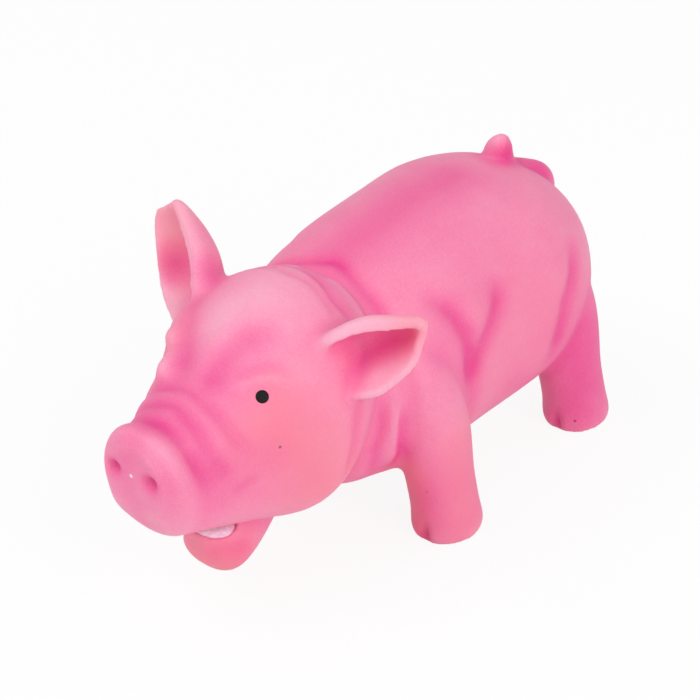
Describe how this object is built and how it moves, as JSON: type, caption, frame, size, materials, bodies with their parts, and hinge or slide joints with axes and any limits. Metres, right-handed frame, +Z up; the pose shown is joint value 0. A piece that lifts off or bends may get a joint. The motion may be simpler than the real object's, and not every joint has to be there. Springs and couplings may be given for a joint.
{
  "type": "squeaky latex pig toy",
  "caption": "Soft hollow latex pig standing on its feet, stuffed with fibre, with a reed sounder in the belly that grunts when the back is pressed.",
  "frame": {"origin": "middle of the bounding box's base, on the floor under the feet", "axes": "+Z up; the pig faces -Y; +X is the pig's own left"},
  "size_m": [0.1122, 0.21, 0.1067],
  "materials": {
    "latex": "matte pink latex, sprayed a deeper pink in its recesses",
    "tongue_latex": "pale pink latex, satin",
    "black_paint": "thick black latex paint, semi-gloss",
    "white_plastic": "moulded white plastic",
    "reed_film": "amber plastic film",
    "felt": "pressed grey felt",
    "polyester_wadding": "loose white polyester fibre"
  },
  "bodies": {
    "body": {"torso_skin": "latex", "head_skin": "latex", "left_eye": "black_paint", "right_eye": "black_paint", "body_wadding": "polyester_wadding", "head_wadding": "polyester_wadding", "sounder_barrel": "white_plastic", "sounder_cap": "white_plastic", "felt_filter": "felt", "reed_block": "white_plastic", "reed_clip": "white_plastic"},
    "back": {"back_pad": "latex"},
    "reed": {"reed": "reed_film"},
    "jaw": {"lower_jaw": "latex", "tongue": "tongue_latex"},
    "left_ear": {"left_ear": "latex"},
    "right_ear": {"right_ear": "latex"},
    "tail": {"tail": "latex"},
    "front_left_leg": {"front_left_leg": "latex"},
    "front_right_leg": {"front_right_leg": "latex"},
    "hind_left_leg": {"hind_left_leg": "latex"},
    "hind_right_leg": {"hind_right_leg": "latex"}
  },
  "joints": [
    {"name": "back_press", "type": "slide", "parent": "body", "child": "back", "axis": [0, 0, -1], "range_m": [0, 0.015], "stiffness_N_per_m": 300, "deforming": ["body_wadding"]},
    {"name": "reed_beat", "type": "hinge", "parent": "body", "child": "reed", "pos_m": [0, 0.03463, 0.0354], "axis": [1, 0, 0], "range_deg": [-0.5, 3.6]},
    {"name": "jaw_flex", "type": "hinge", "parent": "body", "child": "jaw", "pos_m": [0, -0.05176, 0.0385], "axis": [1, 0, 0], "range_deg": [-6, 14], "stiffness_Nm_per_rad": 0.05},
    {"name": "left_ear_flop", "type": "hinge", "parent": "body", "child": "left_ear", "pos_m": [0.03225, -0.04281, 0.08099], "axis": [0.6864, -0.0933, -0.7212], "range_deg": [-20, 30], "stiffness_Nm_per_rad": 0.02},
    {"name": "right_ear_flop", "type": "hinge", "parent": "body", "child": "right_ear", "pos_m": [-0.03225, -0.04281, 0.08099], "axis": [0.6864, 0.0933, 0.7212], "range_deg": [-20, 30], "stiffness_Nm_per_rad": 0.02},
    {"name": "tail_wag", "type": "hinge", "parent": "body", "child": "tail", "pos_m": [0, 0.0795, 0.0955], "axis": [0, 1, 0], "range_deg": [-20, 20], "stiffness_Nm_per_rad": 0.0008},
    {"name": "front_left_leg_flex", "type": "hinge", "parent": "body", "child": "front_left_leg", "pos_m": [0.03775, 0.0032, 0.0245], "axis": [1, 0, 0], "range_deg": [-10, 10], "stiffness_Nm_per_rad": 0.25},
    {"name": "front_right_leg_flex", "type": "hinge", "parent": "body", "child": "front_right_leg", "pos_m": [-0.03775, 0.0032, 0.0245], "axis": [1, 0, 0], "range_deg": [-10, 10], "stiffness_Nm_per_rad": 0.25},
    {"name": "hind_left_leg_flex", "type": "hinge", "parent": "body", "child": "hind_left_leg", "pos_m": [0.033, 0.0862, 0.0245], "axis": [1, 0, 0], "range_deg": [-10, 10], "stiffness_Nm_per_rad": 0.25},
    {"name": "hind_right_leg_flex", "type": "hinge", "parent": "body", "child": "hind_right_leg", "pos_m": [-0.033, 0.0862, 0.0245], "axis": [1, 0, 0], "range_deg": [-10, 10], "stiffness_Nm_per_rad": 0.25}
  ],
  "couplings": [
    {"joint": "reed_beat", "follows": "back_press", "rad_per_m": 4}
  ]
}
